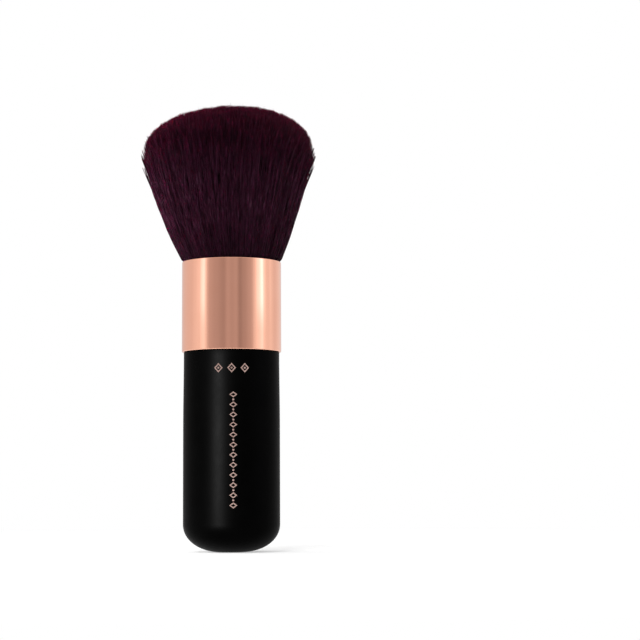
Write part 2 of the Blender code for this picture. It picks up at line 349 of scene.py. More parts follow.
def map_range(tree, value, old, new, smooth=True):
    node = tree.nodes.new("ShaderNodeMapRange")
    node.interpolation_type = "SMOOTHSTEP" if smooth else "LINEAR"
    feed(tree, node.inputs["Value"], value)
    for socket, number in zip(("From Min", "From Max", "To Min", "To Max"), (*old, *new)):
        node.inputs[socket].default_value = number
    return node.outputs["Result"]


def mix_node(tree, kind, factor, first, second):
    """Mixes two numbers or two colours. The node has its own sockets for each kind."""
    first_input, second_input, output = {"FLOAT": (2, 3, 0), "RGBA": (6, 7, 2)}[kind]
    node = tree.nodes.new("ShaderNodeMix")
    node.data_type = kind
    feed(tree, node.inputs["Factor"], factor)
    feed(tree, node.inputs[first_input], first)
    feed(tree, node.inputs[second_input], second)
    return node.outputs[output]


def noise(tree, scale, stretch=(1, 1, 1), detail=3):
    """Noise in object space, with its scale in features per metre along each axis."""
    place = tree.nodes.new("ShaderNodeTexCoord")
    mapping = tree.nodes.new("ShaderNodeMapping")
    mapping.inputs["Scale"].default_value = [scale * s for s in stretch]
    feed(tree, mapping.inputs["Vector"], place.outputs["Object"])
    node = tree.nodes.new("ShaderNodeTexNoise")
    feed_all(tree, node, {"Scale": 1, "Detail": detail, "Vector": mapping.outputs["Vector"]})
    return node.outputs["Fac"]


def colour_ramp(tree, value, stops, interpolation="LINEAR"):
    """Colours by a value. Stops are (value, (red, green, blue))."""
    node = tree.nodes.new("ShaderNodeValToRGB")
    ramp = node.color_ramp
    ramp.interpolation = interpolation
    for element, (position, colour) in zip(ramp.elements, (stops[0], stops[-1])):
        element.position = position
        element.color = (*colour, 1)
    for position, colour in stops[1:-1]:
        ramp.elements.new(position).color = (*colour, 1)
    feed(tree, node.inputs["Fac"], value)
    return node.outputs["Color"]


def bump(tree, shader, height, distance, strength=1.0):
    node = tree.nodes.new("ShaderNodeBump")
    feed_all(tree, node, {"Strength": strength, "Distance": distance, "Height": height})
    feed(tree, shader.inputs["Normal"], node.outputs["Normal"])


def attribute(tree, name):
    node = tree.nodes.new("ShaderNodeAttribute")
    node.attribute_name = name
    return node.outputs["Fac"]


def lacquer_material():
    """Satin black lacquer: a faint cloudiness in its gloss and a very fine orange peel."""
    material, tree, shader = new_material("satin_black_lacquer")
    cloud = noise(tree, scale=160, detail=4)
    fine = noise(tree, scale=900, detail=2)
    colour = colour_ramp(tree, cloud, [(0.35, (0.00010,) * 3), (0.7, (0.00035,) * 3)])
    gloss = map_range(tree, math_node(tree, "ADD", cloud, fine), (0.6, 1.4), (0.39, 0.44))
    shader.inputs["Specular IOR Level"].default_value = 0.014
    feed_all(tree, shader, {"Base Color": colour, "Roughness": gloss})
    bump(tree, shader, noise(tree, scale=2600, detail=2), LACQUER_RELIEF, strength=0.35)
    return material


def rose_metal_material():
    """Polished rose gold plate, with the faint drawn lines of the tube along its axis."""
    material, tree, shader = new_material("polished_rose_metal")
    drawn = noise(tree, scale=1500, stretch=(1, 1, 0.012))
    cloud = noise(tree, scale=120)
    stops = [(0.3, (0.915, 0.470, 0.330)), (0.7, (0.935, 0.490, 0.350))]
    colour = colour_ramp(tree, cloud, stops)
    gloss = map_range(tree, math_node(tree, "ADD", cloud, drawn), (0.6, 1.4), (0.07, 0.11))
    shader.inputs["Metallic"].default_value = 1
    feed_all(tree, shader, {"Base Color": colour, "Roughness": gloss})
    bump(tree, shader, drawn, METAL_RELIEF, strength=0.25)
    return material


def filament_noise(tree, tone, along, steps, shift):
    """Noise that runs along each filament in so many steps and differs from one tone to the next."""
    place = tree.nodes.new("ShaderNodeCombineXYZ")
    across = math_node(tree, "MULTIPLY", tone, TONE_SCALE)
    down = math_node(tree, "MULTIPLY", along, steps)
    feed_all(tree, place, {"X": across, "Y": down, "Z": shift})
    node = tree.nodes.new("ShaderNodeTexNoise")
    feed_all(tree, node, {"Scale": 1, "Detail": 1, "Vector": place.outputs["Vector"]})
    return node.outputs["Fac"]


def filament_material():
    """Plum filament: each one has its own tone, which changes along it, with short painted mauve
    glints, and its tip is painted a brighter wine for the back light that glows through the tips."""
    material, tree, shader = new_material("plum_filament")
    tone = attribute(tree, "tone")
    along = attribute(tree, "along")
    grain = filament_noise(tree, tone, along, steps=16, shift=0)
    grain = math_node(tree, "SUBTRACT", grain, 0.5)
    # Painted highlight: short light glints along each filament.
    painted_glint = filament_noise(tree, tone, along, steps=22, shift=7)
    painted_glint = map_range(tree, painted_glint, (0.6, 0.7), (0, 1))
    fade = map_range(tree, along, (0.7, 0.95), (1, 0.1))
    painted_glint = math_node(tree, "MULTIPLY", painted_glint, math_node(tree, "MULTIPLY", fade, PAINTED_GLINT_DEPTH))
    level = math_node(tree, "ADD", tone, math_node(tree, "MULTIPLY", grain, GRAIN_DEPTH))
    level = math_node(tree, "ADD", level, painted_glint)
    # The mauve at the top of the ramp is mostly reached by the painted glints.
    stops = [
        (0.0, (0.004, 0.0010, 0.0024)),
        (0.4, (0.0198, 0.0043, 0.0110)),
        (0.65, (0.0372, 0.0084, 0.0210)),
        (1.0, (0.100, 0.046, 0.076)),
    ]
    body = colour_ramp(tree, level, stops)
    # Painted glow: the last of each filament is a brighter wine, for back light shining through the
    # tips at the edge of the tuft.
    tip = map_range(tree, along, (0.995, 1), (0, 0.9))
    colour = mix_node(tree, "RGBA", tip, body, (0.135, 0.0030, 0.026, 1))
    feed(tree, shader.inputs["Base Color"], colour)
    feed(tree, shader.inputs["Roughness"], map_range(tree, level, (0, 1), (0.5, 0.36)))
    shader.inputs["Specular IOR Level"].default_value = 0.05
    shader.inputs["Specular Tint"].default_value = (1.0, 0.75, 0.85, 1)
    # A filament lets a little red light through, so the edges of the tuft glow against the light.
    shader.inputs["Subsurface Weight"].default_value = 0.35
    shader.inputs["Subsurface Radius"].default_value = (1.0, 0.16, 0.42)
    shader.inputs["Subsurface Scale"].default_value = GLOW_DEPTH
    return material


def core_material():
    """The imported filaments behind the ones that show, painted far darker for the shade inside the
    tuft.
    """
    material, tree, shader = new_material("packed_filament")
    streak = noise(tree, scale=2200, stretch=(1, 1, 0.04), detail=2)
    # painted shade: near black, for the depth of the tuft
    stops = [(0.3, (0.003, 0.0005, 0.0015)), (0.7, (0.012, 0.0024, 0.0062))]
    feed(tree, shader.inputs["Base Color"], colour_ramp(tree, streak, stops))
    feed(tree, shader.inputs["Roughness"], map_range(tree, streak, (0.3, 0.7), (0.7, 0.5)))
    shader.inputs["Specular IOR Level"].default_value = 0.1
    bump(tree, shader, streak, CORE_RELIEF)
    return material


def foil_material():
    """Hot stamped rose foil, a little broken at the scale of the lacquer's grain."""
    material, tree, shader = new_material("rose_foil")
    grain = noise(tree, scale=4200)
    stops = [(0.3, (0.38, 0.24, 0.20)), (0.6, (0.82, 0.61, 0.54))]
    shader.inputs["Metallic"].default_value = 1
    feed(tree, shader.inputs["Base Color"], colour_ramp(tree, grain, stops))
    feed(tree, shader.inputs["Roughness"], map_range(tree, grain, (0.3, 0.7), (0.5, 0.3)))
    bump(tree, shader, grain, FOIL_RELIEF, strength=0.5)
    return material


def resin_material(name, low, high, roughness):
    """A cloudy finish between two colours, for the pieces sealed inside."""
    material, tree, shader = new_material(name)
    cloud = noise(tree, scale=500, detail=4)
    feed(tree, shader.inputs["Base Color"], colour_ramp(tree, cloud, [(0.3, low), (0.7, high)]))
    feed(tree, shader.inputs["Roughness"], map_range(tree, cloud, (0.3, 0.7), roughness))
    bump(tree, shader, noise(tree, scale=1200), RESIN_RELIEF)
    return material


def add_piece(name, mesh, material):
    obj = bpy.data.objects.new(name, mesh)
    bpy.context.scene.collection.objects.link(obj)
    mesh.materials.append(material)
    return obj


def lathe(name, profile, segments, material):
    """A turned solid. The profile's points are (radius, height); it starts and ends on the axis, or
    is closed into a ring."""
    on_axis = profile[0][0] == 0
    rings = profile[1:-1] if on_axis else profile
    turn = np.linspace(0, 2 * math.pi, segments, endpoint=False)
    radii = np.array([r for r, _ in rings])
    heights = np.array([z for _, z in rings])
    points = np.stack(
        [
            np.outer(radii, np.cos(turn)),
            np.outer(radii, np.sin(turn)),
            np.repeat(heights[:, None], segments, 1),
        ],
        axis=-1,
    ).reshape(-1, 3)
    faces = []
    count = len(rings)
    steps = count - 1 if on_axis else count
    for i in range(steps):
        low, high = i * segments, (i + 1) % count * segments
        for j in range(segments):
            k = (j + 1) % segments
            faces.append((low + j, low + k, high + k, high + j))
    points = points.tolist()
    if on_axis:
        points += [(0, 0, profile[0][1]), (0, 0, profile[-1][1])]
        foot, top = len(points) - 2, len(points) - 1
        last = (count - 1) * segments
        for j in range(segments):
            k = (j + 1) % segments
            faces.append((foot, k, j))
            faces.append((top, last + j, last + k))
    mesh = bpy.data.meshes.new(name)
    mesh.from_pydata(points, [], faces)
    mesh.shade_smooth()
    mesh.set_sharp_from_angle(angle=SMOOTH_ANGLE)
    return add_piece(name, mesh, material)


def quarter(centre, radius, start):
    """Points (radius, height) on a quarter of a circle that starts at an angle in degrees."""
    angles = [math.radians(start + 90 * i / ROUND_STEPS) for i in range(ROUND_STEPS + 1)]
    return [(centre[0] + radius * math.cos(a), centre[1] + radius * math.sin(a)) for a in angles]


def handle_radius(height):
    """Radius of the handle's straight stretch and neck."""
    share = min(max((height - BELLY_TOP_Z) / (NECK_END_Z - BELLY_TOP_Z), 0), 1)
    return HANDLE_RADIUS - (HANDLE_RADIUS - SHOULDER_RADIUS) * (1 - math.cos(math.pi * share)) / 2


def make_handle():
    """The handle, from its flat foot to its tenon with the two grooves."""
    profile = [(0, 0)]
    for i in range(FOOT_STEPS + 1):
        across = math.sin(math.pi / 2 * i / FOOT_STEPS)
        drop = (1 - across**FOOT_CURVE_POWER) ** (1 / FOOT_CURVE_POWER)
        width = HANDLE_RADIUS - FOOT_FLAT_RADIUS
        profile.append((FOOT_FLAT_RADIUS + width * across, FOOT_RISE * (1 - drop)))
    for i in range(NECK_STEPS + 1):
        height = BELLY_TOP_Z + (NECK_END_Z - BELLY_TOP_Z) * i / NECK_STEPS
        profile.append((handle_radius(height), height))
    profile += quarter((SHOULDER_RADIUS - SHOULDER_ROUND, NECK_END_Z), SHOULDER_ROUND, 0)[1:]
    profile.append((TENON_RADIUS, SHOULDER_TOP_Z))
    for low, high in BEAD_BOXES:
        floor = TENON_RADIUS - GROOVE_DEPTH
        bottom, top = low.z - BOND_GAP, high.z + BOND_GAP
        profile += [(TENON_RADIUS, bottom), (floor, bottom), (floor, top), (TENON_RADIUS, top)]
    profile += [
        (TENON_RADIUS, TENON_TOP_Z - TENON_CHAMFER),
        (TENON_RADIUS - TENON_CHAMFER, TENON_TOP_Z),
        (0, TENON_TOP_Z),
    ]
    handle = lathe("turned_handle", profile, TURNED_SEGMENTS, lacquer_material())
    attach(handle, "root")
    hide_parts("handle")
    return handle


def wrap(across, height, proud):
    """A point of the flat drawing laid round the front of the handle."""
    radius = handle_radius(height)
    angle = across / radius
    return ((radius + proud) * math.sin(angle), -(radius + proud) * math.cos(angle), height)


def add_foil_ring(bm, across, height, outer, inner):
    """A closed band of foil between two lozenges."""
    loops = []
    sections = [(outer, FOIL_SINK), (outer, FOIL_PROUD), (inner, FOIL_PROUD), (inner, FOIL_SINK)]
    for half, proud in sections:
        loop = []
        for (x0, z0), (x1, z1) in zip(LOZENGE_CORNERS, LOZENGE_CORNERS[1:] + LOZENGE_CORNERS[:1]):
            for i in range(LOZENGE_SIDE_STEPS):
                share = i / LOZENGE_SIDE_STEPS
                x, z = x0 + (x1 - x0) * share, z0 + (z1 - z0) * share
                loop.append(bm.verts.new(wrap(across + half[0] * x, height + half[1] * z, proud)))
        loops.append(loop)
    for first, second in zip(loops, loops[1:] + loops[:1]):
        for i in range(len(first)):
            j = (i + 1) % len(first)
            bm.faces.new((first[i], first[j], second[j], second[i]))


def add_foil_dot(bm, across, height):
    """A small round dot of foil with a closed back."""
    turn = [2 * math.pi * i / DOT_SEGMENTS for i in range(DOT_SEGMENTS)]
    spots = [(across + DOT_RADIUS * math.cos(a), height + DOT_RADIUS * math.sin(a)) for a in turn]
    back, front = [
        [bm.verts.new(wrap(x, z, proud)) for x, z in spots] for proud in (FOIL_SINK, FOIL_PROUD)
    ]
    bm.faces.new(back)
    bm.faces.new(reversed(front))
    for i in range(DOT_SEGMENTS):
        j = (i + 1) % DOT_SEGMENTS
        bm.faces.new((back[i], front[i], front[j], back[j]))


def make_ornament():
    """A generic stamped ornament: three lozenges in a row over a chain of lozenges and dots."""
    bm = bmesh.new()
    for i in (-1, 0, 1):
        add_foil_ring(bm, i * HEAD_PITCH, HEAD_Z, HEAD_OUTER, HEAD_INNER)
        add_foil_dot(bm, i * HEAD_PITCH, HEAD_Z)
    links = 2 * CHAIN_LINKS - 1
    for i in range(links):
        height = CHAIN_TOP_Z - (CHAIN_TOP_Z - CHAIN_LOW_Z) * i / (links - 1)
        if i % 2 == 0:
            add_foil_ring(bm, CHAIN_ACROSS, height, LINK_OUTER, LINK_INNER)
        else:
            add_foil_dot(bm, CHAIN_ACROSS, height)
    bmesh.ops.recalc_face_normals(bm, faces=bm.faces)
    mesh = bpy.data.meshes.new("foil_ornament")
    bm.to_mesh(mesh)
    bm.free()
    ornament = add_piece("foil_ornament", mesh, foil_material())
    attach(ornament, "root")


def make_ferrule():
    """The drawn tube, with a rounded lip inside and outside at both ends."""
    corners = [
        ((FERRULE_RADIUS - LIP_ROUND, FERRULE_Z + LIP_ROUND), -90),
        ((FERRULE_RADIUS - LIP_ROUND, MOUTH_Z - LIP_ROUND), 0),
        ((BORE_RADIUS + LIP_ROUND, MOUTH_Z - LIP_ROUND), 90),
        ((BORE_RADIUS + LIP_ROUND, FERRULE_Z + LIP_ROUND), 180),
    ]
    profile = []
    for centre, start in corners:
        profile += quarter(centre, LIP_ROUND, start)
    ferrule = lathe("drawn_ferrule", profile, TURNED_SEGMENTS, rose_metal_material())
    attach(ferrule, "root")
    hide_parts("ferrule")


def progress(value, start, end):
    """How far a value has come from start to end, held between 0 and 1."""
    return np.clip((value - start) / (end - start), 0, 1)


def bell(value, centre, span):
    """1 at the centre, and less on both sides of it."""
    return np.exp(-(((value - centre) / span) ** 2))


def flare_radius(rise):
    """Radius of the sheaf of filaments at a rise, if none of them ended."""
    above = np.clip(rise, 0, None)
    flare = (SKIRT_RADIUS - SEAT_RADIUS) * (above / SKIRT_RISE) ** FLARE_POWER
    bulge = LIP_BULGE * (1 - np.exp(-above / LIP_CLEAR_RISE)) * bell(above, 0, BULGE_SPAN)
    return SEAT_RADIUS + flare + bulge - SKIRT_DRAW * bell(above, DRAW_RISE, DRAW_SPAN)


def outline_radius(rise):
    """Radius that the tuft is trimmed to at a rise: the rounded shoulder, with the dome above it."""
    above = rise - SKIRT_RISE - SHOULDER_RISE
    tucked = TUFT_RADIUS - SKIRT_INSET * (above / SHOULDER_RISE) ** 2
    share = np.clip(above / CROWN_RISE, 0, 1)
    dome = TUFT_RADIUS * (1 - share**CROWN_POWER) ** (1 / CROWN_POWER)
    return np.where(above < 0, tucked, dome)


def tip_rise(out, scale=1.0):
    """Rise at which filaments that keep their share of the sheaf's radius meet the outline."""
    low = np.full_like(out, SKIRT_RISE * TIP_SEARCH_START)
    high = np.full_like(out, TUFT_RISE * scale)
    for _ in range(TIP_SEARCH_HALVINGS):
        middle = (low + high) / 2
        past = out * flare_radius(middle) > outline_radius(middle / scale) * scale
        high = np.where(past, middle, high)
        low = np.where(past, low, middle)
    return low


def lean_at(rise):
    """How far the tuft bows to the left at a rise, most of all near its middle."""
    share = np.clip(rise / TUFT_RISE, 0, LEAN_END) ** LEAN_POWER
    return -TUFT_LEAN * 4 * share * (1 - share)


def make_core(material):
    """The bonded root with its tied waist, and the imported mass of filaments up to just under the
    dome."""
    waist_low, waist_high = THREAD_BOX[0].z - BOND_GAP, THREAD_BOX[1].z + BOND_GAP
    waist = (THREAD_BOX[1].x - THREAD_BOX[0].x) / 2 - THREAD_DIAMETER - BOND_GAP
    profile = [(0, ROOT_Z), (SEAT_RADIUS, ROOT_Z), (SEAT_RADIUS, waist_low), (waist, waist_low)]
    profile += [(waist, waist_high), (SEAT_RADIUS, waist_high), (SEAT_RADIUS, MOUTH_Z - MOUTH_DEPTH)]
    side = tip_rise(np.array([CORE_RIM]), CORE_SHARE)[0]
    for i in range(CORE_STEPS):
        rise = side * i / (CORE_STEPS - 1)
        profile.append((CORE_SHARE * flare_radius(rise), MOUTH_Z + rise))
    for i in range(1, CORE_STEPS):
        out = math.cos(math.pi / 2 * i / CORE_STEPS)
        rise = tip_rise(np.array([out * CORE_RIM]), CORE_SHARE)[0]
        profile.append((out * CORE_SHARE * flare_radius(rise), MOUTH_Z + rise))
    crown = tip_rise(np.array([0.0]), CORE_SHARE)[0]
    profile.append((0, MOUTH_Z + crown))
    core = lathe("tuft_core", profile, CORE_SEGMENTS, material)
    for v in core.data.vertices:
        if v.co.z > MOUTH_Z:
            v.co.x += float(lean_at(v.co.z - MOUTH_Z))
    return core


def filament_faces(count, rings):
    """Corners of all the faces in a row, and each face's number of corners: four for those up the
    sides, and as many as a filament has sides for the cap on each end."""
    side = np.arange(FILAMENT_SIDES)
    after = (side + 1) % FILAMENT_SIDES
    ring = np.arange(count)[:, None, None] * rings + np.arange(rings - 1)[None, :, None]
    low = ring * FILAMENT_SIDES
    high = low + FILAMENT_SIDES
    quads = np.stack([low + side, low + after, high + after, high + side], axis=-1).reshape(-1, 4)
    base = np.arange(count)[:, None] * rings * FILAMENT_SIDES
    tip = base + (rings - 1) * FILAMENT_SIDES
    caps = np.concatenate([base + side[::-1], tip + side])
    corners = np.concatenate([quads.ravel(), caps.ravel()]).astype(np.int32)
    sizes = np.concatenate([np.full(len(quads), 4), np.full(len(caps), FILAMENT_SIDES)])
    return corners, sizes


def filament_mesh(name, paths, radii, tone, along, material):
    """Tapered filaments. paths is (count, rings, 3), radii and along (count, rings), and tone has
    one column or a column for each ring."""
    count, rings, _ = paths.shape
    shape = (count, rings, FILAMENT_SIDES)
    side = np.arange(FILAMENT_SIDES)
    spin = tone[:, :1] * TURN_BY_TONE + side * 2 * math.pi / FILAMENT_SIDES
    # The sides stand round a level circle, which is near enough to square to these upright runs.
    circle = np.stack([np.cos(spin), np.sin(spin), np.zeros_like(spin)], axis=-1)
    points = paths[:, :, None, :] + radii[:, :, None, None] * circle[:, None, :, :]
    corners, sizes = filament_faces(count, rings)
    starts = np.concatenate([[0], np.cumsum(sizes)[:-1]]).astype(np.int32)
    mesh = bpy.data.meshes.new(name)
    mesh.vertices.add(count * rings * FILAMENT_SIDES)
    mesh.vertices.foreach_set("co", points.astype(np.float32).ravel())
    mesh.loops.add(len(corners))
    mesh.loops.foreach_set("vertex_index", corners)
    mesh.polygons.add(len(sizes))
    mesh.polygons.foreach_set("loop_start", starts)
    mesh.update(calc_edges=True)
    tones = np.broadcast_to(tone[:, :, None], shape).astype(np.float32)
    alongs = np.broadcast_to(along[:, :, None], shape).astype(np.float32)
    for label, values in (("tone", tones), ("along", alongs)):
        layer = mesh.attributes.new(label, "FLOAT", "POINT")
        layer.data.foreach_set("value", values.ravel())
    # The map lays every filament by its tone and height, the two things that its colour follows.
    u = MAP_LEFT + MAP_WIDTH * tones.ravel() + np.tile(side * MAP_SIDE_STEP, count * rings)
    v = MAP_FOOT + MAP_HEIGHT * alongs.ravel()
    mesh.uv_layers.new(name="OFBake").uv.foreach_set(
        "vector", np.stack([u, v], 1)[corners].astype(np.float32).ravel()
    )
    mesh.shade_smooth()
    mesh.validate()
    return add_piece(name, mesh, material)


def taper(share, start, loss, power):
    """Share of its thickness that a filament keeps as it thins towards its tip."""
    return 1 - loss * progress(share, start, 1) ** power


def ease(share):
    """Runs from 0 to 1 with the share, and is level at both ends."""
    return share * share * (3 - 2 * share)


def painted_streak_light(fields, bearing, rise):
    """Painted shade where a long dark parting runs over the tuft, and a painted glint where a short
    light streak does. Each field holds random numbers for the columns and rows of one line of
    STREAKS."""
    shift = np.zeros_like(rise)
    for field, (columns, rows, lean, threshold, change) in zip(fields, STREAKS):
        up = np.clip(rise / TUFT_RISE, 0, 1) * rows
        turn = bearing / (2 * math.pi) * columns + lean * up
        row = np.floor(up).astype(int)
        column = np.floor(turn).astype(int)
        v = ease(up - row)
        u = ease(turn - column)
        left = column % columns
        right = (column + 1) % columns
        low = field[row, left] * (1 - u) + field[row, right] * u
        high = field[row + 1, left] * (1 - u) + field[row + 1, right] * u
        value = low * (1 - v) + high * v
        shift = shift + change * progress(value, threshold, threshold + STREAK_EDGE)
    return shift * progress(rise, *STREAK_END) * progress(rise, *STREAK_START)


def sunflower(count):
    """Places spread evenly over the unit disc."""
    index = np.arange(count)
    out = np.sqrt((index + 0.5) / count)
    bearing = index * GOLDEN_ANGLE
    return np.stack([out * np.cos(bearing), out * np.sin(bearing)], 1)


def nearest_clump(place, centres):
    tree = KDTree(len(centres))
    for i, (x, y) in enumerate(centres):
        tree.insert((x, y, 0), i)
    tree.balance()
    return np.array([tree.find((x, y, 0))[1] for x, y in place])


def draw_clumps(rng):
    """What the filaments of a clump share: one value for each clump."""
    count = CLUMP_COUNT
    return {
        "shade": rng.normal(0, 1, count),
        "cut": rng.normal(0, CLUMP_CUT, count),
        "pull": rng.uniform(*CLUMP_PULL, count),
        "part": np.where(rng.random(count) < PARTING_CHANCE, rng.uniform(*PARTING_PULL, count), 0),
        "part_height": rng.uniform(*PARTING_HEIGHT, count),
        "part_span": rng.uniform(*PARTING_SPAN, count),
    }


def draw_tips(rng, place, out, cut):
    """Rise of every filament's tip: the dome, trimmed and tilted, with a few tall hairs and a
    feathered rim."""
    count = len(out)
    tip = tip_rise(out) - CROWN_TRIM + cut - np.abs(rng.normal(0, TIP_SCATTER, count))
    tip += CROWN_TILT * place[:, 0] * (1 - out**2)
    tall = rng.random(count) < TALL_CHANCE
    tip += np.where(tall, rng.uniform(*TALL_EXTRA, count), 0)
    chance = FEATHER_CHANCE + FEATHER_RIM_CHANCE * progress(out, *FEATHER_RIM)
    feathered = (out > FEATHER_OUT[0]) & (rng.random(count) < chance)
    depth = rng.uniform(0, FEATHER_DEPTH, count) * progress(out, *FEATHER_OUT)
    return tip - np.where(feathered, depth, 0)


def draw_splay(rng, out, clump):
    """How far each filament's tip stands out with its clump, round the rim alone."""
    of_clump = np.where(rng.random(CLUMP_COUNT) < SPLAY_CHANCE, rng.uniform(*SPLAY, CLUMP_COUNT), 0)
    return of_clump[clump] * rng.uniform(*SPLAY_OF_CLUMP, len(out)) * progress(out, *SPLAY_OUT)


def draw_hair(rng):
    """What every filament is given, by name, with one row for each of them."""
    place = sunflower(FILAMENT_COUNT)
    place += rng.normal(0, PLACE_SCATTER, place.shape)
    reach = np.hypot(*place.T)
    out = np.minimum(reach, 1.0)
    place *= (out / np.maximum(reach, 1e-9))[:, None]
    centres = sunflower(CLUMP_COUNT) + rng.normal(0, CLUMP_SCATTER, (CLUMP_COUNT, 2))
    clump = nearest_clump(place, centres)
    hair = {name: values[clump] for name, values in draw_clumps(rng).items()}
    hair["place"] = place
    hair["out"] = out
    hair["toward_clump"] = centres[clump] - place
    hair["tip"] = draw_tips(rng, place, out, hair["cut"])
    hair["splay"] = draw_splay(rng, out, clump)
    # The inner filaments start inside the core, just under its dome, and the others in the ferrule.
    buried = tip_rise(np.minimum(out / CORE_SHARE, CORE_RIM), CORE_SHARE) - BURIED_DEPTH
    hair["start"] = np.where(out < BURIED_OUT, buried, -MOUTH_DEPTH)
    return hair


def gather(rng, hair, height):
    """Place of each ring: clumps draw their filaments in, most of all at a parting, and every
    filament drifts a little round the axis."""
    count = len(height)
    pull = hair["pull"] * height**CLUMP_PULL_POWER
    pull = pull + hair["part"] * bell(height, hair["part_height"], hair["part_span"])
    x, y = np.moveaxis(hair["place"] + hair["toward_clump"] * pull[..., None], -1, 0)
    drift = rng.normal(0, 1, (count, 1))
    drift = drift * np.where(rng.random((count, 1)) < STRAY_CHANCE, STRAY_DRIFT, STEADY_DRIFT)
    angle = drift * (height - rng.uniform(0, 1, (count, 1)))
    cos, sin = np.cos(angle), np.sin(angle)
    return np.stack([x * cos - y * sin, x * sin + y * cos], -1)


def waver(rng, hair, place, rise, height):
    """How far each ring stands off its place: it dips inwards and slides sideways in waves, splays
    at the tip, and is tucked in behind the loose locks."""
    count = len(height)
    outward = place / np.maximum(np.linalg.norm(place, axis=-1, keepdims=True), 1e-6)
    around = np.stack([-outward[..., 1], outward[..., 0]], -1)
    phase = rng.uniform(0, 2 * math.pi, (count, 1, 2))
    waves = rng.uniform(*WAVES, (count, 1, 2))
    wave = np.sin(phase + 2 * math.pi * waves * height[..., None])
    root_hold = progress(height, *ROOT_HOLD)
    swell = root_hold * progress(height, *TIP_HOLD)
    dip = np.abs(rng.normal(0, DIP, (count, 1))) * (wave[..., 0] - 1) * swell
    loose = np.where(rng.random((count, 1)) < LOOSE_CHANCE, LOOSE_SLIDE, FIRM_SLIDE)
    swing = root_hold * progress(height, *TIP_SLIDE_HOLD)
    slide = rng.normal(0, 1, (count, 1)) * loose * wave[..., 1] * swing
    spread = hair["splay"] * progress(height, *SPLAY_HEIGHT) ** 2
    tuck = SHOULDER_TUCK * bell(rise, TUCK_RISE, TUCK_SPAN)
    return outward * (dip + spread - tuck)[..., None] + around * slide[..., None]


def shade(rng, hair, fields, place, xy, rise, height):
    """Tone of each ring: painted shade on top, to the right, deep in the tuft and at its root, darker
    at its tips, with the painted streaks over it, and a shade of its own for every clump and
    filament, calmer at the tip."""
    calm = 1 - TIP_CALM * progress(height, *TIP_CALM_HEIGHT)
    # painted shade on top of the dome
    top = PAINTED_TOP_SHADE * progress(rise, *PAINTED_TOP_SHADE_RISE)
    # painted shade on the right of the dome
    right = PAINTED_RIGHT_SHADE * np.clip(place[..., 0], 0, 1) * progress(rise, *PAINTED_RIGHT_SHADE_RISE)
    # painted shade deep in the tuft
    painted_depth_shade = progress(hair["out"], *PAINTED_DEEP_SHADE_OUT) * progress(height, *PAINTED_DEEP_SHADE_HEIGHT)
    # painted shade at the root
    root = PAINTED_ROOT_SHADE * progress(rise, *PAINTED_ROOT_SHADE_RISE)
    # Painted streaks: shade in the partings and glints on the light streaks.
    painted_streaks = painted_streak_light(fields, np.arctan2(xy[..., 1], xy[..., 0]), rise)
    tone = BODY_TONE - TIP_SHADE * (1 - calm) - top - right - PAINTED_DEEP_SHADE * painted_depth_shade - root + painted_streaks
    own = FILAMENT_SHADES * rng.normal(0, 1, (len(height), 1)) + CLUMP_SHADES * hair["shade"]
    return np.clip(tone + calm * own, 0, 1)


def make_filament_piece(rng, name, hair, rings, fields, material):
    """The filaments that hair describes, as one piece with so many rings to a filament."""
    share = np.linspace(0, 1, rings)[None, :]
    rise = hair["start"] + (hair["tip"] - hair["start"]) * share
    height = np.clip(rise / hair["tip"], 0, 1)
    place = gather(rng, hair, height)
    xy = place * flare_radius(rise)[..., None] + waver(rng, hair, place, rise, height)
    tone = shade(rng, hair, fields, place, xy, rise, height)
    thickness = FILAMENT_RADIUS * rng.uniform(*FILAMENT_THICKNESS, (len(rise), 1))
    radii = thickness * taper(share, *FILAMENT_TAPER)
    paths = np.stack([xy[..., 0] + lean_at(rise), xy[..., 1], MOUTH_Z + rise], axis=-1)
    return filament_mesh(name, paths, radii, tone, height, material)


def make_filaments(rng, material):
    """All the filaments. The further out they stand, the more of them shows and the more rings
    they have, and each group is dealt out at random over as many pieces as it needs."""
    hair = draw_hair(rng)
    fields = [rng.normal(0, 1, (rows + 2, columns)) for columns, rows, _, _, _ in STREAKS]
    pieces = []
    for label, low, high, rings in FILAMENT_GROUPS:
        ids = np.nonzero((hair["out"] >= low) & (hair["out"] < high))[0]
        most = PIECE_TRIANGLES // ((rings - 1) * 2 * FILAMENT_SIDES + 2)
        parts = math.ceil(len(ids) / most)
        for number, members in enumerate(np.array_split(rng.permutation(ids), parts)):
            dealt = {key: values[members, None] for key, values in hair.items()}
            name = f"tuft_filaments_{label}_{number + 1}"
            pieces.append(make_filament_piece(rng, name, dealt, rings, fields, material))
    return pieces


